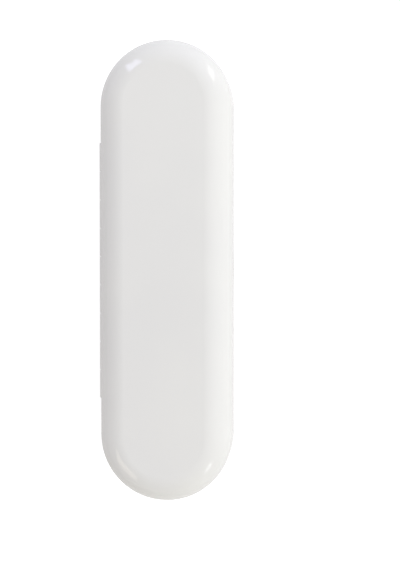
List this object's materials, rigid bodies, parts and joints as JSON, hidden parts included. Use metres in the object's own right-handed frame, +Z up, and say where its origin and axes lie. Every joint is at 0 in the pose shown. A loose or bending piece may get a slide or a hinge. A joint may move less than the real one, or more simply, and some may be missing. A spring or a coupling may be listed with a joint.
{
  "type": "electric toothbrush travel case",
  "caption": "Glossy white pill-shaped travel case with a hinged lid, a push-button latch and fitted recesses for a toothbrush handle and brush heads.",
  "frame": {"origin": "centre of the flat face that the closed case lies on", "axes": "+Z up, out of the flat face; +Y along the case's length; +X towards the push button, with the hinge at -X"},
  "size_m": [0.0681, 0.23, 0.042],
  "materials": {
    "shell_plastic": "polished injection-moulded ABS, plain white",
    "liner_plastic": "fine matt texture, pale grey",
    "grip_rubber": "soft matt elastomer",
    "latch_plastic": "satin acetal, off-white",
    "pin_steel": "drawn stainless wire",
    "screw_steel": "nickel-plated",
    "spring_steel": "bright drawn spring wire"
  },
  "bodies": {
    "base": {"base_shell": "shell_plastic", "base_liner": "liner_plastic", "hinge_pin": "pin_steel", "handle_grip_front": "grip_rubber", "handle_grip_rear": "grip_rubber", "head_peg_front": "latch_plastic", "head_peg_rear": "latch_plastic", "latch_housing": "latch_plastic", "housing_screws": "screw_steel", "latch_spring": "spring_steel"},
    "latch": {"latch_button": "shell_plastic", "latch_slide": "latch_plastic"},
    "lid": {"lid_shell": "shell_plastic", "lid_liner": "liner_plastic", "lid_pad_front": "grip_rubber", "lid_pad_rear": "grip_rubber", "keeper": "latch_plastic", "keeper_screws": "screw_steel"}
  },
  "joints": [
    {"name": "lid_hinge", "type": "hinge", "parent": "base", "child": "lid", "pos_m": [-0.0332, 0, 0.021], "axis": [0, -1, 0], "range_deg": [0, 180]},
    {"name": "latch_press", "type": "slide", "parent": "base", "child": "latch", "axis": [-1, 0, 0], "range_m": [0, 0.0018], "stiffness_N_per_m": 800, "springref_m": -0.002, "deforming": ["latch_spring"]}
  ]
}
